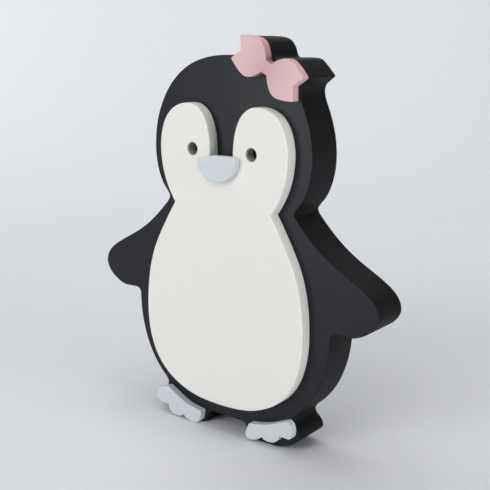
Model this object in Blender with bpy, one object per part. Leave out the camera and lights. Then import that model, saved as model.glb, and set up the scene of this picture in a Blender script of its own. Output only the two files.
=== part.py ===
"""Standing penguin figure, built up from flat painted boards.

Two black boards glued back to back make the body, with wings and feet in one outline.
A white face and belly panel, a beak, a bow and two toe panels are glued to its front, each
located by blind wooden dowels.

Frame: +Z up, the figure faces -Y and +X is on the viewer's right. The origin is the middle
of the bounding box, at floor level. Lengths below are millimetres, and MM turns them into
Blender's metres.
"""

import math

import bmesh
import bpy

MM = 0.001

# Board stock
BODY_BOARD = 19.0
PANEL_BOARD = 11.4
BOW_BOARD = 8.0
TRIM_BOARD = 7.0
GLUE_GAP = 0.3
EDGE_CHAMFER = 0.6
CORNER_RADIUS = 1.2
NOTCH_RADIUS = 0.5

# Layers along Y, from the back of the figure to the front of its beak
DEPTH = 2 * BODY_BOARD + PANEL_BOARD + TRIM_BOARD + 3 * GLUE_GAP
BACK_BOARD_FRONT = DEPTH / 2 - BODY_BOARD
FRONT_BOARD_FRONT = BACK_BOARD_FRONT - GLUE_GAP - BODY_BOARD
FACE_PANEL_FRONT = FRONT_BOARD_FRONT - GLUE_GAP - PANEL_BOARD
BOW_FRONT = FRONT_BOARD_FRONT - GLUE_GAP - BOW_BOARD
TOES_FRONT = FRONT_BOARD_FRONT - GLUE_GAP - TRIM_BOARD
BEAK_FRONT = FACE_PANEL_FRONT - GLUE_GAP - TRIM_BOARD

# Features
EYE_DIAMETER = 12.0
EYE_X = 33.2
EYE_Z = 267.2
BOW_CENTRE = (45.5, 340.9)
BOW_TILT = 27.5
BEAK_TOP = (-0.5, 264.1)
BEAK_TILT = -3.5

# Dowels: diameter, and the depth taken up in the board behind and in the piece in front
DOWEL_CLEARANCE = 0.3
BODY_DOWEL = (8.0, 13.0, 13.0)
PANEL_DOWEL = (6.0, 8.0, 7.0)
BOW_DOWEL = (5.0, 8.0, 5.5)
TOE_DOWEL = (5.0, 8.0, 4.5)
BEAK_DOWEL = (4.0, 7.0, 4.5)
BODY_DOWEL_PLACES = ((0, 322), (0, 205), (-118, 149), (118, 149), (-82, 92), (82, 92))
PANEL_DOWEL_PLACES = ((-46, 290), (46, 290), (-46, 70), (46, 70))
BEAK_DOWEL_PLACES = ((-10.3, 247), (8.7, 247))
BOW_DOWEL_REACH = 19.0
LEFT_FOOT_DOWEL_PLACES = ((-66, 19.2), (-40, 8.3))
RIGHT_FOOT_DOWEL_PLACES = ((38.5, 11.5), (67, 22.3))

# Outlines run clockwise as seen from the front. A knot is (x, z, heading), with the heading in
# degrees from +X towards +Z. Where the direction breaks, the knot is (x, z, heading in,
# heading out), and the corner is rounded.
CROWN = [
    (0, 350.6, 0),
    (47.5, 340.6, -28),
    (88.9, 266, -90),
]
CROWN_WITH_BOW_REST = [
    (0, 350.6, 0),
    (15, 349.8, -3),
    (19.2, 354.4, 92),
    (18.3, 367, 93, 0),
    (29, 366.5, -4),
    (39.8, 362.9, -43),
    (45.5, 352.9, -78),
    (49.5, 349.2, 0),
    (64, 349.3, -2),
    (72.5, 347.4, -37),
    (85.3, 334.3, -48, -146),
    (78.4, 329, -147),
    (75, 322.5, -92),
    (77.4, 312, -65),
    (88.9, 266, -90),
]
SIDE = [
    (76, 225, -132),
    (71.6, 218.4, -90),
    (76, 211, -47),
    (100, 188.4, -38.5),
    (129, 170.4, -28),
    (150, 157.3, -41),
    (158.2, 142, -90),
    (148, 126.9, -146),
    (130, 120.3, 178),
    (117.5, 120.8, 180),
    (111.6, 115.5, -90),
    (111.4, 109, -93),
    (104.5, 74, -110),
    (81, 38.2, -139),
    (75.1, 30.2, -90),
    (77, 26, -45),
    (81.5, 22, -49),
    (84, 15.4, -90),
    (80, 10.3, -141),
    (52, 0, 180),
    (31, 0, 180),
    (25.4, 4, 100),
    (23.4, 8.6, 100),
    (17.5, 13.9, 180),
    (0, 14.2, 180),
]
FACE_AND_BELLY = [
    (0, 250.7, 0),
    (12.9, 264, 90),
    (19.8, 296.6, 60),
    (38.5, 308, 0),
    (57.2, 302.3, -35),
    (71.8, 266.5, -90),
    (54.8, 216.4, -126, -58),
    (80, 171.4, -67),
    (90.8, 110, -90),
    (76, 57.6, -127),
    (36, 32.6, -165),
    (0, 28.9, 180),
]
BEAK = [
    (0, 0, 0),
    (19.5, -1.5, -9),
    (21.6, -4.6, -92),
    (0, -23.6, 180),
]
BOW_QUARTER = [
    (3, 5.4, 0, 58),
    (18, 17.4, 0),
    (37, 10.9, -27, -120),
    (30.9, 0, -120, -60),
]
LEFT_TOES = [
    (-84.6, 16.3, 90),
    (-76.6, 26.8, 22),
    (-69.7, 28.9, 12, -26),
    (-47, 17.7, -21),
    (-26.8, 13.8, -7, -93),
    (-28.5, 4.1, -120),
    (-37, 0.1, 180),
    (-49.2, 4.4, 130, -130),
    (-59.2, 1.2, 180),
    (-69, 10.4, 92, 180),
    (-77.6, 10.3, 180),
]
RIGHT_TOES = [
    (27.2, 6.7, 90),
    (30.9, 17.7, 72, 10),
    (50.5, 22, 17),
    (72, 30.8, 20),
    (79, 24.8, -78),
    (79.3, 18.8, -96),
    (75, 14.5, 180),
    (65.7, 14.8, 180, -98),
    (53.9, 5.8, 180),
    (46, 8.4, 132, -135),
    (31.5, 2.1, 180),
]


def clear_scene():
    for item in list(bpy.data.objects):
        bpy.data.objects.remove(item, do_unlink=True)


def paint(name, colour, roughness):
    material = bpy.data.materials.new(name)
    material.use_nodes = True
    shader = material.node_tree.nodes["Principled BSDF"]
    shader.inputs["Base Color"].default_value = (*colour, 1)
    shader.inputs["Roughness"].default_value = roughness
    shader.inputs["Metallic"].default_value = 0
    return material


# Outlines


def direction(heading):
    angle = math.radians(heading)
    return math.cos(angle), math.sin(angle)


def mirror_across(knots):
    """The same knots on the other side of the Z axis, in reverse, so that a run goes on."""
    mirrored = []
    for x, z, *headings in reversed(knots):
        mirrored.append((-x, z, *(-heading for heading in reversed(headings))))
    return mirrored


def mirror_up_down(knots):
    """The same knots below the X axis, in reverse."""
    mirrored = []
    for x, z, *headings in reversed(knots):
        mirrored.append((x, -z, *(180 - heading for heading in reversed(headings))))
    return mirrored


def round_corners(knots, convex_radius, concave_radius):
    """Replaces each corner by a knot before it and one after it, set back along its two sides."""
    rounded = []
    for x, z, *headings in knots:
        if len(headings) == 1:
            rounded.append((x, z, headings[0]))
            continue
        before, after = direction(headings[0]), direction(headings[1])
        turns_right = before[0] * after[1] - before[1] * after[0] < 0
        radius = convex_radius if turns_right else concave_radius
        rounded.append((x - radius * before[0], z - radius * before[1], headings[0]))
        rounded.append((x + radius * after[0], z + radius * after[1], headings[1]))
    return rounded


def curve_handles(start, end):
    """Cubic handles between two knots: a conic-like arc where their tangents meet between them."""
    leave, arrive = direction(start[2]), direction(end[2])
    across, up = end[0] - start[0], end[1] - start[1]
    reach = [math.hypot(across, up) / 3] * 2
    cross = leave[0] * arrive[1] - leave[1] * arrive[0]
    if abs(cross) > 0.05:
        to_meeting = (across * arrive[1] - up * arrive[0]) / cross
        from_meeting = (leave[0] * up - leave[1] * across) / cross
        if to_meeting > 0 and from_meeting > 0:
            turn = math.acos(leave[0] * arrive[0] + leave[1] * arrive[1])
            share = 4 / 3 * math.tan(turn / 4) / math.tan(turn / 2)
            reach = [share * to_meeting, share * from_meeting]
    first = (start[0] + reach[0] * leave[0], start[1] + reach[0] * leave[1])
    second = (end[0] - reach[1] * arrive[0], end[1] - reach[1] * arrive[1])
    return first, second


def trace(knots, degrees_per_step=11, longest_step=16):
    """Points along the closed smooth outline through the knots."""
    points = []
    for start, end in zip(knots, knots[1:] + knots[:1]):
        first, second = curve_handles(start, end)
        turn = abs((end[2] - start[2] + 180) % 360 - 180)
        length = math.dist(start[:2], end[:2])
        if length < 1e-6:
            continue
        straight = turn < 0.5 and abs(first[1] - start[1]) + abs(second[1] - end[1]) < 1e-6
        steps = max(2, math.ceil(turn / degrees_per_step), math.ceil(length / longest_step))
        if straight:
            steps = 1
        for step in range(steps):
            t = step / steps
            weights = ((1 - t) ** 3, 3 * t * (1 - t) ** 2, 3 * t * t * (1 - t), t**3)
            corners = (start, first, second, end)
            points.append(
                (
                    sum(weight * corner[0] for weight, corner in zip(weights, corners)),
                    sum(weight * corner[1] for weight, corner in zip(weights, corners)),
                )
            )
    return points


def inset(points, amount):
    """The outline moved into the board by an amount."""
    moved = []
    for before, here, after in zip(points[-1:] + points[:-1], points, points[1:] + points[:1]):
        headings = [
            math.atan2(here[1] - before[1], here[0] - before[0]),
            math.atan2(after[1] - here[1], after[0] - here[0]),
        ]
        half_turn = ((headings[1] - headings[0] + math.pi) % (2 * math.pi) - math.pi) / 2
        middle = headings[0] + half_turn
        reach = amount / max(0.5, math.cos(half_turn))
        moved.append((here[0] + reach * math.sin(middle), here[1] - reach * math.cos(middle)))
    return moved


# Solids


def add_object(name, mesh, material, place):
    if material:
        mesh.materials.append(material)
    piece = bpy.data.objects.new(name, mesh)
    piece.location = [value * MM for value in place]
    bpy.context.scene.collection.objects.link(piece)
    return piece


def stack_rings(shape, rings):
    """Joins rings of points, each a list of (x, y, z) in millimetres, into one closed skin."""
    layers = []
    for ring in rings:
        layers.append([shape.verts.new([value * MM for value in point]) for point in ring])
    for near, far in zip(layers, layers[1:]):
        for index in range(len(near)):
            following = (index + 1) % len(near)
            shape.faces.new((near[index], near[following], far[following], far[index]))
    shape.faces.new(reversed(layers[0]))
    shape.faces.new(layers[-1])


def finish_mesh(name, shape, smooth_below=35):
    bmesh.ops.recalc_face_normals(shape, faces=shape.faces)
    mesh = bpy.data.meshes.new(name)
    shape.to_mesh(mesh)
    shape.free()
    mesh.shade_smooth()
    mesh.set_sharp_from_angle(angle=math.radians(smooth_below))
    return mesh


def board(name, outline, thickness, material, place, chamfer_front=True, chamfer_back=False):
    """A flat board of a given outline, its front face in the XZ plane at its origin."""
    narrow = inset(outline, EDGE_CHAMFER)
    rings = [(0, outline), (thickness, outline)]
    if chamfer_front:
        rings[:1] = [(0, narrow), (EDGE_CHAMFER, outline)]
    if chamfer_back:
        rings[-1:] = [(thickness - EDGE_CHAMFER, outline), (thickness, narrow)]
    shape = bmesh.new()
    stack_rings(shape, [[(x, y, z) for x, z in points] for y, points in rings])
    return add_object(name, finish_mesh(name, shape), material, place)


def rod_rings(shape, x, z, front, back, radius, chamfer, sides):
    """A round bar along Y with an optional chamfer at its ends."""
    profile = [(front + chamfer, radius), (back - chamfer, radius)]
    if chamfer:
        profile = [(front, radius - chamfer), *profile, (back, radius - chamfer)]
    angles = [2 * math.pi * (side + 0.5) / sides for side in range(sides)]
    rings = [[(x + r * math.cos(a), y, z + r * math.sin(a)) for a in angles] for y, r in profile]
    stack_rings(shape, rings)


def bore(piece, holes, sides=16):
    """Cuts round holes along Y into a board; a hole is (x, z, front, back, diameter)."""
    name = piece.name + "_bores"
    shape = bmesh.new()
    for x, z, front, back, diameter in holes:
        rod_rings(shape, x, z, front, back, diameter / 2, 0, sides)
    cutter = add_object(name, finish_mesh(name, shape), None, (0, 0, 0))
    cutter.hide_render = True
    cutter.display_type = "WIRE"
    cut = piece.modifiers.new("bores", "BOOLEAN")
    cut.operation = "DIFFERENCE"
    cut.solver = "EXACT"
    cut.object = cutter


def dowel_joints(family, size, places, joint_plane, material, parent):
    """Dowels across the glue joint behind joint_plane, with the bores for the two boards."""
    diameter, depth_behind, depth_in_front = size
    joint_middle = joint_plane + GLUE_GAP / 2
    front, back = joint_middle - depth_in_front, joint_middle + depth_behind
    bore_diameter = diameter + 2 * DOWEL_CLEARANCE
    front_bores, back_bores = [], []
    for number, (x, z) in enumerate(places, 1):
        shape = bmesh.new()
        rod_rings(shape, 0, 0, front - joint_middle, back - joint_middle, diameter / 2, 0.5, 12)
        name = f"{family}_dowel_{number}"
        dowel = add_object(name, finish_mesh(name, shape), material, (x, joint_middle, z))
        dowel.parent = parent
        front_bores.append((x, z, front - DOWEL_CLEARANCE, joint_middle, bore_diameter))
        back_bores.append((x, z, joint_middle, back + DOWEL_CLEARANCE, bore_diameter))
    return front_bores, back_bores


def body_outline():
    right = CROWN_WITH_BOW_REST + SIDE
    left = mirror_across(SIDE[:-1]) + mirror_across(CROWN[1:])
    return trace(round_corners(right + left, CORNER_RADIUS, NOTCH_RADIUS))


def face_outline():
    knots = FACE_AND_BELLY + mirror_across(FACE_AND_BELLY[1:-1])
    return trace(round_corners(knots, CORNER_RADIUS, NOTCH_RADIUS))


def beak_outline():
    return trace(BEAK + mirror_across(BEAK[1:-1]))


def bow_outline():
    right = BOW_QUARTER + mirror_up_down(BOW_QUARTER[:-1])
    return trace(round_corners(right + mirror_across(right), CORNER_RADIUS, NOTCH_RADIUS))


def toe_outline(knots):
    return trace(round_corners(knots, CORNER_RADIUS, NOTCH_RADIUS))


def bow_dowel_places():
    """Two dowels on the bow's long axis, one in each loop."""
    along, down = direction(-BOW_TILT)
    places = []
    for reach in (-BOW_DOWEL_REACH, BOW_DOWEL_REACH):
        places.append((BOW_CENTRE[0] + reach * along, BOW_CENTRE[1] + reach * down))
    return places


def build():
    clear_scene()
    black = paint("satin_black_paint", (0.042, 0.044, 0.052), 0.45)
    white = paint("warm_white_paint", (0.78, 0.78, 0.74), 0.5)
    grey = paint("pale_blue_grey_paint", (0.62, 0.66, 0.71), 0.5)
    pink = paint("blush_pink_paint", (0.74, 0.49, 0.5), 0.5)
    beech = paint("beech_dowel", (0.62, 0.43, 0.26), 0.65)

    figure = bpy.data.objects.new("penguin", None)
    bpy.context.scene.collection.objects.link(figure)

    outline = body_outline()
    place = (0, BACK_BOARD_FRONT, 0)
    back_board = board("body_back_board", outline, BODY_BOARD, black, place, False, True)
    place = (0, FRONT_BOARD_FRONT, 0)
    front_board = board("body_front_board", outline, BODY_BOARD, black, place)
    place = (0, FACE_PANEL_FRONT, 0)
    face_panel = board("face_belly_panel", face_outline(), PANEL_BOARD, white, place)
    place = (BEAK_TOP[0], BEAK_FRONT, BEAK_TOP[1])
    beak = board("beak", beak_outline(), TRIM_BOARD, grey, place)
    beak.rotation_euler.y = math.radians(BEAK_TILT)
    place = (BOW_CENTRE[0], BOW_FRONT, BOW_CENTRE[1])
    bow = board("bow", bow_outline(), BOW_BOARD, pink, place)
    bow.rotation_euler.y = math.radians(BOW_TILT)
    place = (0, TOES_FRONT, 0)
    left_toes = board("left_foot_panel", toe_outline(LEFT_TOES), TRIM_BOARD, grey, place)
    right_toes = board("right_foot_panel", toe_outline(RIGHT_TOES), TRIM_BOARD, grey, place)
    for piece in (back_board, front_board, face_panel, beak, left_toes, right_toes, bow):
        piece.parent = figure

    def joints(family, size, places, plane):
        return dowel_joints(family, size, places, plane, beech, figure)

    behind_body = FRONT_BOARD_FRONT + BODY_BOARD
    behind_panel = FRONT_BOARD_FRONT - GLUE_GAP
    behind_beak = FACE_PANEL_FRONT - GLUE_GAP
    body_front, body_back = joints("body", BODY_DOWEL, BODY_DOWEL_PLACES, behind_body)
    panel_front, panel_back = joints("face_panel", PANEL_DOWEL, PANEL_DOWEL_PLACES, behind_panel)
    beak_front, beak_back = joints("beak", BEAK_DOWEL, BEAK_DOWEL_PLACES, behind_beak)
    bow_front, bow_back = joints("bow", BOW_DOWEL, bow_dowel_places(), behind_panel)
    left_front, left_back = joints("left_foot", TOE_DOWEL, LEFT_FOOT_DOWEL_PLACES, behind_panel)
    right_front, right_back = joints("right_foot", TOE_DOWEL, RIGHT_FOOT_DOWEL_PLACES, behind_panel)

    through = (FACE_PANEL_FRONT - 1, FACE_PANEL_FRONT + PANEL_BOARD + 1)
    eyes = [(side * EYE_X, EYE_Z, *through, EYE_DIAMETER) for side in (-1, 1)]
    bore(back_board, body_back)
    bore(front_board, body_front + panel_back + bow_back + left_back + right_back)
    bore(face_panel, eyes + panel_front + beak_back, sides=24)
    bore(beak, beak_front)
    bore(bow, bow_front)
    bore(left_toes, left_front)
    bore(right_toes, right_front)


build()
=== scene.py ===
import math

import bmesh
import bpy
import numpy as np
from mathutils import Matrix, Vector
from mathutils.geometry import delaunay_2d_cdt


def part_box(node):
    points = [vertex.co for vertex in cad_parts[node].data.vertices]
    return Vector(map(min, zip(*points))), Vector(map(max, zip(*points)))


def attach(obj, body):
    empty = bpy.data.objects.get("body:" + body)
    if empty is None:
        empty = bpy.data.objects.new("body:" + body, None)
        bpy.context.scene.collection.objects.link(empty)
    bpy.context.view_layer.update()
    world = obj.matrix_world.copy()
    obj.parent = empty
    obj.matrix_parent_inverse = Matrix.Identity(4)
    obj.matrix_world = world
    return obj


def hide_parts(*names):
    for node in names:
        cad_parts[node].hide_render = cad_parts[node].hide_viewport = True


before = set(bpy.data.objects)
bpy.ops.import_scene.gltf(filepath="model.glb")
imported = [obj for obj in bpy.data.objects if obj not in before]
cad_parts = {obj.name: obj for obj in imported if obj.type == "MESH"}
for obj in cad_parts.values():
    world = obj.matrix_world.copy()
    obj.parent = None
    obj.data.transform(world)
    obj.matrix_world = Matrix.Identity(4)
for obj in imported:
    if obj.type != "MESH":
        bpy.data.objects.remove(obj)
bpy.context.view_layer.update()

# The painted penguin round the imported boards: +Z up, it faces -Y, and +X is on the viewer's right.
# Outlines and board sizes below are millimetres.
MM = 0.001

# The radius of each sanded edge, and of the outlines' outer and inner corners
BODY_EDGE = 0.6
FACE_EDGE = 1.2
THIN_EDGE = 0.7
BEAK_EDGE = 1.0
BEAK_BACK_EDGE = 0.4
EYE_EDGE = 0.7
CORNER_RADIUS = 1.3
NOTCH_RADIUS = 0.5

# Meshing: steps round an edge, the flat strip beside it, where the plain wall starts in edge radii,
# the wall's rows in millimetres, the holes' rows and sides, and the angle that shades as a crease
EDGE_STEPS = 5
EDGE_SUPPORT = 0.5
WALL_START = 1.5
WALL_STEP = 3.0
EYE_WALL_STEPS = 4
EYE_SIDES = 72
BORE_SIDES = 32
SHARP_ANGLE = 40

# Outlines: the most degrees between points, the sine under which two headings count as parallel,
# the share of a bend's radius that an inset may use, how fast that radius may grow, and the cosine
# of half a corner's turn past which an inset doesn't reach further
DEGREES_PER_POINT = 8
NEARLY_PARALLEL = 0.05
INSET_SHARE = 0.85
BEND_GROWTH = 0.4
SHARPEST_REACH = 0.5

# Unevenness: its depth on the walls of large and small boards, its waves as (length, share), the
# bends that it spares, and the same for the slight swell of the faces
SANDING = 0.05
SMALL_SANDING = 0.03
SANDING_WAVES = ((31, 0.5), (13, 0.3), (5.5, 0.2))
WAVE_SHIFT = 1.7
CALM_BEND = 12
SWELL = 0.05
SWELL_FADE = 12

# Features, as in the CAD part
EYE_DIAMETER = 12.0
EYE_X = 33.2
EYE_Z = 267.2
BOW_CENTRE = (45.5, 340.9)
BOW_TILT = 27.5
BEAK_TOP = (-0.5, 264.1)
BEAK_TILT = -3.5
BORE_CLEARANCE = 0.3

# Camera: its place in metres, with Y counted from the front of the body, its angles in degrees,
# its lens and sensor in millimetres, and how near and far it sees in metres
CAMERA_PLACE = (0.5012, -0.6269, 0.3677)
CAMERA_YAW = 37.56
CAMERA_DOWN = 13.08
CAMERA_ROLL = 0.632
CAMERA_LENS = 66.5
CAMERA_SENSOR = 36
CAMERA_CLIP = (0.01, 50)

# Outlines run clockwise as seen from the front. A knot is (x, z, heading), with the heading in
# degrees from +X towards +Z. Where the direction breaks, the knot is (x, z, heading in,
# heading out), and the corner is rounded.
CROWN = [
    (0, 350.6, 0),
    (47.5, 340.6, -28),
    (88.9, 266, -90),
]
CROWN_WITH_BOW_REST = [
    (0, 350.6, 0),
    (15, 349.8, -3),
    (19.2, 354.4, 92),
    (18.3, 367, 93, 0),
    (29, 366.5, -4),
    (39.8, 362.9, -43),
    (45.5, 352.9, -78),
    (49.5, 349.2, 0),
    (64, 349.3, -2),
    (72.5, 347.4, -37),
    (85.3, 334.3, -48, -146),
    (78.4, 329, -147),
    (75, 322.5, -92),
    (77.4, 312, -65),
    (88.9, 266, -90),
]
SIDE = [
    (76, 225, -132),
    (71.6, 218.4, -90),
    (76, 211, -47),
    (100, 188.4, -38.5),
    (129, 170.4, -28),
    (150, 157.3, -41),
    (158.2, 142, -90),
    (148, 126.9, -146),
    (130, 120.3, 178),
    (117.5, 120.8, 180),
    (111.6, 115.5, -90),
    (111.4, 109, -93),
    (104.5, 74, -110),
    (81, 38.2, -139),
    (75.1, 30.2, -90),
    (77, 26, -45),
    (81.5, 22, -49),
    (84, 15.4, -90),
    (80, 10.3, -141),
    (52, 0, 180),
    (31, 0, 180),
    (25.4, 4, 100),
    (23.4, 8.6, 100),
    (17.5, 13.9, 180),
    (0, 14.2, 180),
]
FACE_AND_BELLY = [
    (0, 250.7, 0),
    (12.9, 264, 90),
    (19.8, 296.6, 60),
    (38.5, 308, 0),
    (57.2, 302.3, -35),
    (71.8, 266.5, -90),
    (54.8, 216.4, -126, -58),
    (80, 171.4, -67),
    (90.8, 110, -90),
    (76, 57.6, -127),
    (36, 32.6, -165),
    (0, 28.9, 180),
]
BEAK = [
    (0, 0, 0),
    (19.5, -1.5, -9),
    (21.6, -4.6, -92),
    (0, -23.6, 180),
]
BOW_QUARTER = [
    (3, 5.4, 0, 58),
    (18, 17.4, 0),
    (37, 10.9, -27, -120),
    (30.9, 0, -120, -60),
]
LEFT_TOES = [
    (-84.6, 16.3, 90),
    (-76.6, 26.8, 22),
    (-69.7, 28.9, 12, -26),
    (-47, 17.7, -21),
    (-26.8, 13.8, -7, -93),
    (-28.5, 4.1, -120),
    (-37, 0.1, 180),
    (-49.2, 4.4, 130, -130),
    (-59.2, 1.2, 180),
    (-69, 10.4, 92, 180),
    (-77.6, 10.3, 180),
]
RIGHT_TOES = [
    (27.2, 6.7, 90),
    (30.9, 17.7, 72, 10),
    (50.5, 22, 17),
    (72, 30.8, 20),
    (79, 24.8, -78),
    (79.3, 18.8, -96),
    (75, 14.5, 180),
    (65.7, 14.8, 180, -98),
    (53.9, 5.8, 180),
    (46, 8.4, 132, -135),
    (31.5, 2.1, 180),
]


# Outlines


def direction(heading):
    angle = math.radians(heading)
    return math.cos(angle), math.sin(angle)


def mirror_across(knots):
    """The same knots on the other side of the Z axis, in reverse, so that a run goes on."""
    return [(-x, z, *(-heading for heading in headings[::-1])) for x, z, *headings in knots[::-1]]


def mirror_up_down(knots):
    """The same knots below the X axis, in reverse."""
    return [(x, -z, *(180 - heading for heading in headings[::-1])) for x, z, *headings in knots[::-1]]


def round_corners(knots):
    """Replaces each corner by a knot before it and one after it, set back along its two sides."""
    rounded = []
    for x, z, *headings in knots:
        if len(headings) == 1:
            rounded.append((x, z, headings[0]))
            continue
        before, after = direction(headings[0]), direction(headings[1])
        turns_right = before[0] * after[1] - before[1] * after[0] < 0
        radius = CORNER_RADIUS if turns_right else NOTCH_RADIUS
        rounded.append((x - radius * before[0], z - radius * before[1], headings[0]))
        rounded.append((x + radius * after[0], z + radius * after[1], headings[1]))
    return rounded


def curve_handles(start, end):
    """Cubic handles between two knots: a conic-like arc where their tangents meet between them."""
    leave, arrive = direction(start[2]), direction(end[2])
    across, up = end[0] - start[0], end[1] - start[1]
    reach = [math.hypot(across, up) / 3] * 2
    cross = leave[0] * arrive[1] - leave[1] * arrive[0]
    if abs(cross) > NEARLY_PARALLEL:
        to_meeting = (across * arrive[1] - up * arrive[0]) / cross
        from_meeting = (leave[0] * up - leave[1] * across) / cross
        if to_meeting > 0 and from_meeting > 0:
            turn = math.acos(leave[0] * arrive[0] + leave[1] * arrive[1])
            share = 4 / 3 * math.tan(turn / 4) / math.tan(turn / 2)
            reach = [share * to_meeting, share * from_meeting]
    first = (start[0] + reach[0] * leave[0], start[1] + reach[0] * leave[1])
    second = (end[0] - reach[1] * arrive[0], end[1] - reach[1] * arrive[1])
    return first, second


def trace(knots, longest_step):
    """Points along the closed smooth outline through the knots, close enough for a smooth edge."""
    points = []
    knots = round_corners(knots)
    for start, end in zip(knots, knots[1:] + knots[:1]):
        first, second = curve_handles(start, end)
        turn = abs((end[2] - start[2] + 180) % 360 - 180)
        length = math.dist(start[:2], end[:2])
        steps = max(2, math.ceil(turn / DEGREES_PER_POINT), math.ceil(length / longest_step))
        t = np.arange(steps)[:, None] / steps
        corners = [np.array(corner[:2]) for corner in (start, first, second, end)]
        weights = ((1 - t) ** 3, 3 * t * (1 - t) ** 2, 3 * t * t * (1 - t), t**3)
        points.append(sum(weight * corner for weight, corner in zip(weights, corners)))
    return np.concatenate(points)


def body_knots():
    right = CROWN_WITH_BOW_REST + SIDE
    return right + mirror_across(SIDE[:-1]) + mirror_across(CROWN[1:])


def bow_knots():
    right = BOW_QUARTER + mirror_up_down(BOW_QUARTER[:-1])
    return right + mirror_across(right)


# Shapes


class Outline:
    """A closed clockwise outline with its inward directions and arc lengths, in millimetres."""

    def __init__(self, points):
        self.points = points
        steps = np.roll(points, -1, axis=0) - points
        lengths = np.linalg.norm(steps, axis=1)
        headings = steps / lengths[:, None]
        before = np.roll(headings, 1, axis=0)
        middle = headings + before
        middle /= np.linalg.norm(middle, axis=1)[:, None]
        self.inward = np.stack([middle[:, 1], -middle[:, 0]], axis=1)
        self.reach = 1 / np.maximum(SHARPEST_REACH, (middle * headings).sum(axis=1))
        self.along = np.concatenate([[0], np.cumsum(lengths)])
        cross = before[:, 1] * headings[:, 0] - before[:, 0] * headings[:, 1]
        turn_right = np.arcsin(np.clip(cross, -1, 1))
        bend = (lengths + np.roll(lengths, 1)) / 2 / np.maximum(turn_right, 1e-3)
        for index in list(range(len(points))) * 2:
            bend[index] = min(bend[index], bend[index - 1] + BEND_GROWTH * lengths[index - 1])
        for index in list(range(len(points) - 1, -1, -1)) * 2:
            following = (index + 1) % len(points)
            bend[index] = min(bend[index], bend[following] + BEND_GROWTH * lengths[index])
        self.bend = bend

    def inset(self, amount):
        """The outline moved into the board, less where it bends too sharply to take it."""
        amount = np.minimum(amount, INSET_SHARE * self.bend) * self.reach
        return self.points + self.inward * amount[:, None]

    def sanded(self, depth):
        """The same outline with the slight unevenness of a hand-sanded saw cut."""
        share = self.along[:-1] / self.along[-1]
        wave = np.zeros(len(share))
        for length, weight in SANDING_WAVES:
            count = round(self.along[-1] / length)
            wave += weight * (1 + np.sin(2 * math.pi * count * share + WAVE_SHIFT * length))
        calm = np.minimum(1, self.bend / CALM_BEND)
        return Outline(self.points + self.inward * (depth * wave * calm)[:, None])


def ring(shape, points, y, wall, edge, layers):
    """Vertices along an outline at one depth, with how far they are on the wall and on its edge."""
    made = []
    for x, z in points:
        vert = shape.verts.new((x * MM, y * MM, z * MM))
        vert[layers["wall"]] = wall
        vert[layers["rim"]] = edge
        made.append(vert)
    return made


def skin(shape, near, far, along, layers):
    """Quads between two rings, with the way round the outline and the depth kept as UVs."""
    uv = layers["uv"]
    for index in range(len(near)):
        following = (index + 1) % len(near)
        face = shape.faces.new((near[index], near[following], far[following], far[index]))
        for loop, place in zip(face.loops, (index, index + 1, index + 1, index)):
            loop[uv].uv = (along[place] * MM, loop.vert.co.y)


def cap(shape, loops, spacing, swell):
    """Fills between an outer ring and the holes in it with near-equal triangles.

    Inner points stand on a grid of such triangles, and keep clear of the rings. The swell is how
    far they rise and fall, away from the rings."""
    row_height, clearance = 0.87 * spacing, 0.6 * spacing
    verts = [vert for loop in loops for vert in loop]
    edges, first = [], 0
    for loop in loops:
        edges += [(first + index, first + (index + 1) % len(loop)) for index in range(len(loop))]
        first += len(loop)
    flat = np.array([(vert.co.x / MM, vert.co.z / MM) for vert in verts])
    low, high = flat.min(axis=0), flat.max(axis=0)
    rows = np.arange(low[1], high[1], row_height)
    grid = [
        (x + (row % 2) * spacing / 2, z)
        for row, z in enumerate(rows)
        for x in np.arange(low[0], high[0], spacing)
    ]
    grid = np.array(grid)
    distance = np.linalg.norm(grid[:, None] - flat[None], axis=2).min(axis=1)
    inside = enclosed(grid, flat, edges) & (distance > clearance)
    grid, distance = grid[inside], distance[inside]
    everything = np.concatenate([flat, grid])
    flat_places = [tuple(place) for place in everything]
    out, _, triangles, sources, _, _ = delaunay_2d_cdt(flat_places, edges, [], 0, 1e-5)
    y = verts[0].co.y
    made = {}
    for index, source in enumerate(sources):
        if source and source[0] < len(verts):
            made[index] = verts[source[0]]
        elif source:
            x, z = everything[source[0]]
            fade = min(1, distance[source[0] - len(verts)] / SWELL_FADE)
            made[index] = shape.verts.new((x * MM, y + swell * MM * uneven(x, z) * fade, z * MM))
    centres = np.array([
        [sum(out[corner][axis] for corner in triangle) / 3 for axis in (0, 1)] for triangle in triangles
    ])
    for triangle, kept in zip(triangles, enclosed(centres, flat, edges)):
        if kept:
            shape.faces.new([made[index] for index in triangle])


def uneven(x, z):
    """Broad, smooth highs and lows over a face, by place in millimetres."""
    return math.sin(x / 11 + 1.3) * math.sin(z / 14) + 0.5 * math.sin(x / 6.1 - z / 7.3)


def enclosed(places, corners, edges):
    """Which places lie inside the outer ring and outside its holes, by crossings."""
    crossings = np.zeros(len(places), int)
    for start, end in edges:
        (x0, z0), (x1, z1) = corners[start], corners[end]
        if z0 == z1:
            continue
        spans = (places[:, 1] > min(z0, z1)) & (places[:, 1] <= max(z0, z1))
        at = x0 + (places[:, 1] - z0) * (x1 - x0) / (z1 - z0)
        crossings += spans & (at > places[:, 0])
    return crossings % 2 == 1


def circle(x, z, radius, sides):
    angles = 2 * math.pi * np.arange(sides) / sides
    return np.stack([x + radius * np.cos(angles), z + radius * np.sin(angles)], axis=1)


def rim(radius, back=False):
    """(inset, depth, turn) down a quarter-round edge, from the face to the wall, or back."""
    turns = [math.pi / 2 * step / EDGE_STEPS for step in range(EDGE_STEPS + 1)]
    profile = [
        (radius * (1 - math.sin(turn)), radius * (1 - math.cos(turn)), turn) for turn in turns
    ]
    return profile[::-1] if back else profile


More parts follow.
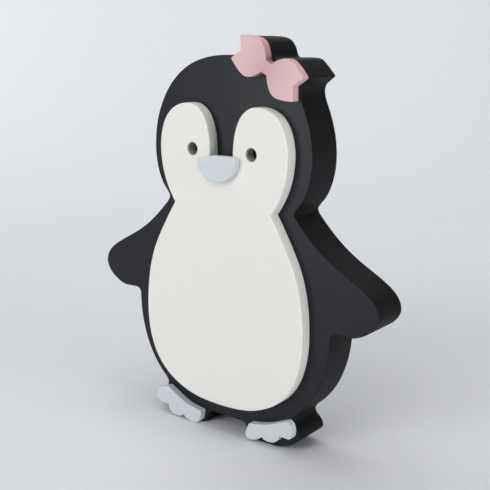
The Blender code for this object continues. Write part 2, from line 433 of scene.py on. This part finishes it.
def blind_bore(shape, x, z, radius, plane, bottom, layers):
    """A blind hole from a glue face. Gives the ring at its mouth."""
    along = np.arange(BORE_SIDES + 1) * radius / 5  # a side is about a fifth of the radius
    edge = circle(x, z, radius, BORE_SIDES)
    mouth = ring(shape, edge, plane, 1, 0, layers)
    foot = ring(shape, edge, bottom, 1, 0, layers)
    skin(shape, mouth, foot, along, layers)
    shape.faces.new(foot)
    return mouth


def eye_hole(shape, x, z, front, back, layers):
    """A through hole with a softened front edge. Gives its ring on each face.

    Its wall is marked 2, which tells it from a board's outer walls."""
    radius = EYE_DIAMETER / 2
    along = np.arange(EYE_SIDES + 1) * 2 * math.pi * radius / EYE_SIDES
    profile = [(radius + EYE_EDGE + EDGE_SUPPORT, front, 0)]
    for inset, depth, turn in rim(EYE_EDGE):
        profile.append((radius + inset, front + depth, math.sin(turn)))
    for step in range(1, EYE_WALL_STEPS + 1):
        depth = (back - front - EYE_EDGE) * step / EYE_WALL_STEPS
        profile.append((radius, front + EYE_EDGE + depth, 2))
    rings = [
        ring(shape, circle(x, z, reach, EYE_SIDES), y, wall, 0, layers) for reach, y, wall in profile
    ]
    for near, far in zip(rings, rings[1:]):
        skin(shape, near, far, along, layers)
    return rings[0], rings[-1]


def board(name, knots, front, back, front_edge, back_edge=0, step=1.2, sanding=SANDING, spacing=5.0,
          eyes=(), front_bores=(), back_bores=()):
    """A board with sanded edges, cut to an outline. Front and back are its faces' places along Y.

    An edge of 0 is left sharp. Step is the most between points of the outline, and spacing the
    side of a triangle on the faces."""
    outline = Outline(trace(knots, step)).sanded(sanding)
    shape = bmesh.new()
    layers = {
        "wall": shape.verts.layers.float.new("wall"),
        "rim": shape.verts.layers.float.new("rim"),
        "uv": shape.loops.layers.uv.new("board"),
    }
    profile = []  # from front to back: inset, place along Y, how far on the wall, how far on the edge
    if front_edge:
        profile.append((front_edge + EDGE_SUPPORT, front, 0, 0))
        for inset, depth, turn in rim(front_edge):
            profile.append((inset, front + depth, math.sin(turn), math.sin(2 * turn)))
    walls = max(2, round((back - front) / WALL_STEP))
    start, end = front + WALL_START * front_edge, back - WALL_START * back_edge
    for number in range(walls + 1):
        profile.append((0, start + (end - start) * number / walls, 1, 0))
    if back_edge:
        for inset, depth, turn in rim(back_edge, back=True):
            profile.append((inset, back - depth, math.sin(turn), math.sin(2 * turn)))
        profile.append((back_edge + EDGE_SUPPORT, back, 0, 0))
    rings = [
        ring(shape, outline.inset(inset), y, wall, edge, layers) for inset, y, wall, edge in profile
    ]
    for near, far in zip(rings, rings[1:]):
        skin(shape, near, far, outline.along, layers)
    front_loops, back_loops = [rings[0]], [rings[-1]]
    for x, z in eyes:
        mouths = eye_hole(shape, x, z, front, back, layers)
        front_loops.append(mouths[0])
        back_loops.append(mouths[1])
    for x, z, radius, bottom in front_bores:
        front_loops.append(blind_bore(shape, x, z, radius, front, bottom, layers))
    for x, z, radius, bottom in back_bores:
        back_loops.append(blind_bore(shape, x, z, radius, back, bottom, layers))
    cap(shape, front_loops, spacing, SWELL)
    cap(shape, back_loops, spacing, SWELL if back_edge else 0)
    bmesh.ops.recalc_face_normals(shape, faces=shape.faces)
    mesh = bpy.data.meshes.new(name)
    shape.to_mesh(mesh)
    shape.free()
    mesh.shade_smooth()
    mesh.set_sharp_from_angle(angle=math.radians(SHARP_ANGLE))
    piece = bpy.data.objects.new(name, mesh)
    bpy.context.scene.collection.objects.link(piece)
    return piece


def dowels(family):
    """Each dowel of a joint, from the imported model, as (x, z, radius, front, back)."""
    found = []
    for node in sorted(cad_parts):
        if node.startswith(family + "_dowel_"):
            low, high = (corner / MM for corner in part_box(node))
            middle = (low + high) / 2
            found.append((middle.x, middle.z, (high.x - low.x) / 2, low.y, high.y))
    return found


def bores_behind(family):
    """The bores for a joint's dowels in the board behind it."""
    return [
        (x, z, radius + BORE_CLEARANCE, back + BORE_CLEARANCE)
        for x, z, radius, _, back in dowels(family)
    ]


def bores_in_front(family, centre=(0, 0), tilt=0):
    """The bores for a joint's dowels in the piece in front of it, in that piece's own frame."""
    across, up = direction(tilt)
    bores = []
    for x, z, radius, front, _ in dowels(family):
        dx, dz = x - centre[0], z - centre[1]
        place = (dx * across - dz * up, dx * up + dz * across)
        bores.append((*place, radius + BORE_CLEARANCE, front - BORE_CLEARANCE))
    return bores


# Finishes

# Where most of a noise's values lie
NOISE_RANGE = (0.3, 0.7)
# Paint: roughness on faces and walls and its spread, the share of the shine that walls keep, how
# strong the painted highlight on the edges, with faint wear, is at most and how much lighter it makes
# them, and the height of streaks against the stipple
ROUGHNESS, WALL_ROUGHNESS, ROUGHNESS_SPREAD = 0.5, 0.6, 0.04
WALL_SHINE = 0.7
MOST_EDGE_HIGHLIGHT_AND_WEAR = 0.25
EDGE_HIGHLIGHT_GAIN, EDGE_HIGHLIGHT_LIFT = 1.12, 0.004
STREAK_HEIGHT = 2.0
# Metres: relief of paint and of wood, and where a middle tint begins to fade and is gone
PAINT_BUMP = 0.00001
WOOD_BUMP = 0.00003
MIDDLE_TINT_REACH = (0.003, 0.03)


def add(tree, kind, inputs=(), **settings):
    """A shader node with its settings, and with its inputs set or linked."""
    node = tree.nodes.new("ShaderNode" + kind)
    for key, value in settings.items():
        setattr(node, key, value)
    for key, value in dict(inputs).items():
        if isinstance(value, bpy.types.NodeSocket):
            tree.links.new(value, node.inputs[key])
        else:
            node.inputs[key].default_value = value
    return node


def spread(tree, value, low, high, out_low=0.0, out_high=1.0):
    """A value mapped from one range to another."""
    node = add(tree, "MapRange", {"Value": value, "From Min": low, "From Max": high})
    node.inputs["To Min"].default_value = out_low
    node.inputs["To Max"].default_value = out_high
    return node.outputs["Result"]


def maths(tree, operation, first, second):
    node = add(tree, "Math", {0: first, 1: second}, operation=operation)
    return node.outputs[0]


def blend_colours(tree, factor, first, second):
    node = tree.nodes.new("ShaderNodeMix")
    node.data_type = "RGBA"
    sockets = {"Factor": node.inputs[0], "A": node.inputs[6], "B": node.inputs[7]}
    for key, value in (("Factor", factor), ("A", first), ("B", second)):
        if isinstance(value, bpy.types.NodeSocket):
            tree.links.new(value, sockets[key])
        else:
            sockets[key].default_value = (*value, 1) if key != "Factor" else value
    return node.outputs[2]


def new_material(name):
    material = bpy.data.materials.new(name)
    material.use_nodes = True
    return material, material.node_tree, material.node_tree.nodes["Principled BSDF"]


def noise(tree, place, scale, detail, roughness=0.6):
    inputs = {"Vector": place, "Scale": scale, "Detail": detail, "Roughness": roughness}
    return add(tree, "TexNoise", inputs).outputs["Fac"]


def stretched(tree, place, scale):
    return add(tree, "Mapping", {"Vector": place, "Scale": scale}).outputs["Vector"]


def varied(colour, share):
    """A darker and a lighter shade of a colour."""
    return [[value * (1 + side * share) for value in colour] for side in (-1, 1)]


def painted(name, colour, wall_colour, mottle, specular, roughness=ROUGHNESS,
            wall_roughness=WALL_ROUGHNESS, middle=None, painted_crease_shade=None, hole=None):
    """Brushed and rolled paint: faint mottling, fine stipple, sanding streaks on the edges, and a
    painted highlight with faint wear along their rounded rims.

    The middle tint is for the paint around the piece's own origin, the darker wall tint there is
    painted shade where one loop shades the other, and the hole tint is painted shade inside through
    holes."""
    material, tree, shader = new_material(name)
    place = tree.nodes.new("ShaderNodeTexCoord").outputs["Object"]
    wall = add(tree, "Attribute", attribute_name="wall").outputs["Fac"]
    edge = add(tree, "Attribute", attribute_name="rim").outputs["Fac"]
    board_place = add(tree, "UVMap", uv_map="board").outputs["UV"]

    cloud = noise(tree, place, 24.0, 4.0)
    streak = noise(tree, stretched(tree, board_place, (420.0, 26.0, 1.0)), 1.0, 3.0)
    stipple = noise(tree, place, 1100.0, 2.0, 0.5)

    cloudy = spread(tree, cloud, *NOISE_RANGE)
    face_tone = blend_colours(tree, cloudy, *varied(colour, mottle))
    streaky = spread(tree, streak, *NOISE_RANGE)
    wall_tone = blend_colours(tree, streaky, *varied(wall_colour, mottle * 2))
    tone = blend_colours(tree, wall, face_tone, wall_tone)
    if middle:
        flatten = {0: place, 1: (1.0, 0.0, 1.0)}
        flat = add(tree, "VectorMath", flatten, operation="MULTIPLY").outputs["Vector"]
        away = add(tree, "VectorMath", {0: flat}, operation="LENGTH").outputs["Value"]
        near = spread(tree, away, *MIDDLE_TINT_REACH, 1.0, 0.0)
        tone = blend_colours(tree, near, tone, middle)
        # Painted shade: the walls near the middle darken where one loop shades the other
        tone = blend_colours(tree, maths(tree, "MULTIPLY", near, wall), tone, painted_crease_shade)
    # Painted shade inside the eye holes: their walls darken towards a grey
    if hole:
        tone = blend_colours(tree, spread(tree, wall, 1.0, 2.0), tone, hole)
    # Painted highlight along the rounded edges, with faint wear: the colour grows lighter where the
    # edge mask peaks
    edge_highlight_and_wear = maths(tree, "MULTIPLY", maths(tree, "MULTIPLY", edge, cloudy), MOST_EDGE_HIGHLIGHT_AND_WEAR)
    highlit_colour = [min(1, value * EDGE_HIGHLIGHT_GAIN + EDGE_HIGHLIGHT_LIFT) for value in colour]
    tree.links.new(blend_colours(tree, edge_highlight_and_wear, tone, highlit_colour), shader.inputs["Base Color"])

    smooth, rough = roughness - ROUGHNESS_SPREAD, roughness + ROUGHNESS_SPREAD
    gloss = spread(tree, cloud, *NOISE_RANGE, smooth, rough)
    more = maths(tree, "MULTIPLY", wall, wall_roughness - roughness)
    tree.links.new(maths(tree, "ADD", gloss, more), shader.inputs["Roughness"])

    streak_height = maths(tree, "MULTIPLY", maths(tree, "MULTIPLY", streak, wall), STREAK_HEIGHT)
    height = maths(tree, "ADD", stipple, streak_height)
    bump = add(tree, "Bump", {"Height": height, "Strength": 1.0, "Distance": PAINT_BUMP})
    tree.links.new(bump.outputs["Normal"], shader.inputs["Normal"])
    shine = spread(tree, wall, 0.0, 1.0, specular, WALL_SHINE * specular)
    tree.links.new(shine, shader.inputs["Specular IOR Level"])
    return material


def beech():
    """Turned beech: fine grain along the dowel with short flecks."""
    material, tree, shader = new_material("beech_dowel_wood")
    place = tree.nodes.new("ShaderNodeTexCoord").outputs["Object"]
    grain = noise(tree, stretched(tree, place, (900.0, 60.0, 900.0)), 1.0, 4.0)
    fleck = noise(tree, stretched(tree, place, (2600.0, 500.0, 2600.0)), 1.0, 1.0, 0.5)
    grainy = spread(tree, grain, *NOISE_RANGE)
    tone = blend_colours(tree, grainy, (0.56, 0.37, 0.21), (0.69, 0.49, 0.31))
    flecked = blend_colours(tree, spread(tree, fleck, 0.62, 0.7), tone, (0.40, 0.24, 0.13))
    tree.links.new(flecked, shader.inputs["Base Color"])
    tree.links.new(spread(tree, grain, *NOISE_RANGE, 0.58, 0.72), shader.inputs["Roughness"])
    bump = add(tree, "Bump", {"Height": grain, "Strength": 1.0, "Distance": WOOD_BUMP})
    tree.links.new(bump.outputs["Normal"], shader.inputs["Normal"])
    return material


# The figure


def dress(piece, material, slot, *nodes):
    """Gives a piece its paint and puts it in its CAD nodes' place."""
    piece.data.materials.append(material)
    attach(piece, "root")
    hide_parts(*nodes)


def tilt(piece, centre, degrees):
    """Turns a piece in the plane of its board, and puts its own origin at its centre."""
    piece.data.transform(Matrix.Rotation(math.radians(degrees), 4, "Y"))
    piece.location = (centre[0] * MM, 0, centre[1] * MM)


def front_of(node):
    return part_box(node)[0].y / MM


def back_of(node):
    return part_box(node)[1].y / MM


def make_figure():
    black = painted(
        "satin_black", (0.0055, 0.0066, 0.0112), (0.0040, 0.0041, 0.0046), mottle=0.06,
        specular=0.31, roughness=0.4, wall_roughness=0.64,
    )
    white = painted(
        "warm_white", (0.79, 0.79, 0.748), (0.77, 0.775, 0.74), mottle=0.008,
        # The hole tint is painted shade inside the eye holes
        specular=0.4, hole=(0.43, 0.43, 0.385),
    )
    grey = painted(
        "pale_blue_grey", (0.61, 0.645, 0.68), (0.61, 0.645, 0.67), mottle=0.012, specular=0.4,
    )
    pink = painted(
        "blush_pink", (0.70, 0.48, 0.495), (0.66, 0.43, 0.44), mottle=0.018,
        # The last tint is painted shade on the walls near the knot, where one loop shades the other
        specular=0.4, middle=(0.61, 0.38, 0.395), painted_crease_shade=(0.43, 0.225, 0.22),
    )

    slab_front = front_of("body_front_board")
    joint = (back_of("body_front_board") + front_of("body_back_board")) / 2
    face_front = front_of("face_belly_panel")

    front_board = board(
        "penguin_front_board", body_knots(), slab_front, joint, BODY_EDGE, step=1.6, spacing=6.0,
        front_bores=bores_behind("face_panel") + bores_behind("bow")
        + bores_behind("left_foot") + bores_behind("right_foot"),
        back_bores=bores_in_front("body"),
    )
    dress(front_board, black, "black_paint", "body_front_board")
    back_board = board(
        "penguin_back_board", body_knots(), joint, back_of("body_back_board"), 0, BODY_EDGE,
        step=1.6, spacing=6.0, front_bores=bores_behind("body"),
    )
    dress(back_board, black, "black_paint", "body_back_board")

    face_knots = FACE_AND_BELLY + mirror_across(FACE_AND_BELLY[1:-1])
    face = board(
        "penguin_face_and_belly", face_knots, face_front, slab_front, FACE_EDGE, spacing=4.5,
        eyes=[(-EYE_X, EYE_Z), (EYE_X, EYE_Z)],
        front_bores=bores_behind("beak"), back_bores=bores_in_front("face_panel"),
    )
    dress(face, white, "white_paint", "face_belly_panel")

    beak_knots = BEAK + mirror_across(BEAK[1:-1])
    beak = board(
        "penguin_beak", beak_knots, front_of("beak"), face_front, BEAK_EDGE, BEAK_BACK_EDGE, step=0.6,
        spacing=2.0, sanding=SMALL_SANDING, back_bores=bores_in_front("beak", BEAK_TOP, BEAK_TILT),
    )
    tilt(beak, BEAK_TOP, BEAK_TILT)
    dress(beak, grey, "grey_paint", "beak")

    bow = board(
        "penguin_bow", bow_knots(), front_of("bow"), slab_front, THIN_EDGE, step=0.7, spacing=2.5,
        sanding=SMALL_SANDING, back_bores=bores_in_front("bow", BOW_CENTRE, BOW_TILT),
    )
    tilt(bow, BOW_CENTRE, BOW_TILT)
    dress(bow, pink, "pink_paint", "bow")

    for side, knots in (("left", LEFT_TOES), ("right", RIGHT_TOES)):
        node = f"{side}_foot_panel"
        toes = board(
            f"penguin_{side}_toes", knots, front_of(node), slab_front, THIN_EDGE, step=0.6, spacing=2.5,
            sanding=SMALL_SANDING, back_bores=bores_in_front(f"{side}_foot"),
        )
        dress(toes, grey, "grey_paint", node)

    wood = beech()
    for name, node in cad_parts.items():
        if "_dowel_" in name:
            node.data.materials.clear()
            node.data.materials.append(wood)


# The studio


def aim(thing, place, target):
    thing.location = place
    away = np.array(place) - np.array(target)
    thing.rotation_euler = Matrix(frame_towards(away)).to_euler()


def frame_towards(away):
    """A rotation whose local +Z points along a direction, level left to right."""
    up = away / np.linalg.norm(away)
    right = np.cross((0, 0, 1), up)
    right /= np.linalg.norm(right)
    return np.stack([right, np.cross(up, right), up], axis=1).tolist()


def softbox(name, place, target, width, height, power):
    lamp = bpy.data.lights.new(name, "AREA")
    lamp.shape = "RECTANGLE"
    lamp.size, lamp.size_y = width, height
    lamp.energy = power
    light = bpy.data.objects.new(name, lamp)
    bpy.context.scene.collection.objects.link(light)
    light.visible_camera = False
    aim(light, place, target)


def on_floor(azimuth, distance, height):
    """A place round the figure. Azimuth 0 is in front of it, and 90 on the viewer's right."""
    angle = math.radians(azimuth)
    return (distance * math.sin(angle), -distance * math.cos(angle), height)


def make_camera():
    yaw, down, roll = (math.radians(angle) for angle in (CAMERA_YAW, CAMERA_DOWN, CAMERA_ROLL))
    level = math.cos(down)
    forward = np.array([-math.sin(yaw) * level, math.cos(yaw) * level, -math.sin(down)])
    right = np.array([math.cos(yaw), math.sin(yaw), 0])
    up = np.cross(right, forward)
    rolled_right = math.cos(roll) * right + math.sin(roll) * up
    rolled_up = math.cos(roll) * up - math.sin(roll) * right
    lens = bpy.data.cameras.new("camera")
    lens.lens = CAMERA_LENS
    lens.sensor_width = CAMERA_SENSOR
    lens.clip_start, lens.clip_end = CAMERA_CLIP
    camera = bpy.data.objects.new("camera", lens)
    bpy.context.scene.collection.objects.link(camera)
    turned = Matrix(np.stack([rolled_right, rolled_up, -forward], axis=1).tolist()).to_4x4()
    x, y, z = CAMERA_PLACE
    camera.matrix_world = Matrix.Translation((x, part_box("body_front_board")[0].y + y, z)) @ turned
    bpy.context.scene.camera = camera


def make_sweep():
    """A paper sweep: floor, one wide curve, and a wall behind the figure as the camera sees it."""
    width, front, start, radius, top, curve_steps = 6.0, -4.0, 1.1, 1.0, 3.0, 24
    profile = [(front, 0), (-1.5, 0), (0, 0), (start, 0)]
    for step in range(1, curve_steps + 1):
        turn = math.pi / 2 * step / curve_steps
        profile.append((start + radius * math.sin(turn), radius * (1 - math.cos(turn))))
    profile.append((start + radius, top))
    across = np.array(direction(CAMERA_YAW))
    away = np.array([-across[1], across[0]])
    verts = []
    for distance, height in profile:
        for side in (-0.5, 0.5):
            x, y = side * width * across + distance * away
            verts.append((x, y, height))
    faces = [(2 * i, 2 * i + 1, 2 * i + 3, 2 * i + 2) for i in range(len(profile) - 1)]
    mesh = bpy.data.meshes.new("paper_sweep")
    mesh.from_pydata(verts, [], faces)
    mesh.shade_smooth()
    sweep = bpy.data.objects.new("paper_sweep", mesh)
    bpy.context.scene.collection.objects.link(sweep)
    material, tree, shader = new_material("sweep_paper")
    place = tree.nodes.new("ShaderNodeTexCoord").outputs["Object"]
    fibre = noise(tree, place, 300.0, 3.0, 0.5)
    tone = blend_colours(tree, fibre, (0.70, 0.715, 0.745), (0.72, 0.735, 0.765))
    tree.links.new(tone, shader.inputs["Base Color"])
    shader.inputs["Roughness"].default_value = 0.8
    shader.inputs["Specular IOR Level"].default_value = 0.2
    mesh.materials.append(material)


# Softboxes: place, the place that each one faces, its width and height, and its power in watts.
# Those round the figure are given by their azimuth, distance and height.
SOFTBOXES = {
    "key_left": ((-24, 1.7, 0.45), 0.7, 0.8, 7.9),
    "key_middle": ((-10, 1.7, 0.45), 0.9, 0.8, 3.8),
    "key_high": ((10, 1.5, 1.4), 0.9, 0.8, 9.2),
    "fill_high": ((60, 1.5, 1.4), 0.9, 0.8, 1.2),
    "fill_low": ((85, 1.7, 0.45), 0.9, 0.8, 9.0),
    "glow_right": ((85, 1.7, 0.13), 0.9, 0.22, 4.0),
}
OVERHEADS = {
    "top_front": ((0.2, -0.7, 2.0), (0.2, -0.35, 0), 1.0, 1.0, 5.4),
    "top_middle": ((0, 0.1, 2.0), (0, 0.05, 0), 1.0, 1.0, 4.3),
    "top_left": ((-0.8, 0, 2.0), (-0.4, 0, 0), 1.0, 1.0, 6.0),
    "sweep_left": ((-1.9, 0, 1.2), (-1.9, 1.4, 0.4), 0.9, 0.9, 9.7),
    "sweep_right": ((0.7, 0.9, 1.2), (0.1, 2.4, 0.5), 0.8, 0.8, 3.4),
    "sweep_top": ((-0.9, 1.0, 2.6), (-1.2, 1.6, 0), 1.0, 1.0, 10.3),
    "sweep_top_right": ((0.4, 1.2, 2.2), (-0.2, 2.6, 1.2), 0.7, 0.7, 14.5),
}


def make_light():
    world = bpy.data.worlds.new("studio")
    world.use_nodes = True
    background = world.node_tree.nodes["Background"]
    background.inputs["Color"].default_value = (0.96, 0.98, 1, 1)
    background.inputs["Strength"].default_value = 0.02
    bpy.context.scene.world = world
    for name, (place, width, height, power) in SOFTBOXES.items():
        softbox(name, on_floor(*place), (0, 0, 0.2), width, height, power)
    for name, (place, target, width, height, power) in OVERHEADS.items():
        softbox(name, place, target, width, height, power)


bpy.context.scene.view_settings.view_transform = "Standard"
make_figure()
make_camera()
make_sweep()
make_light()
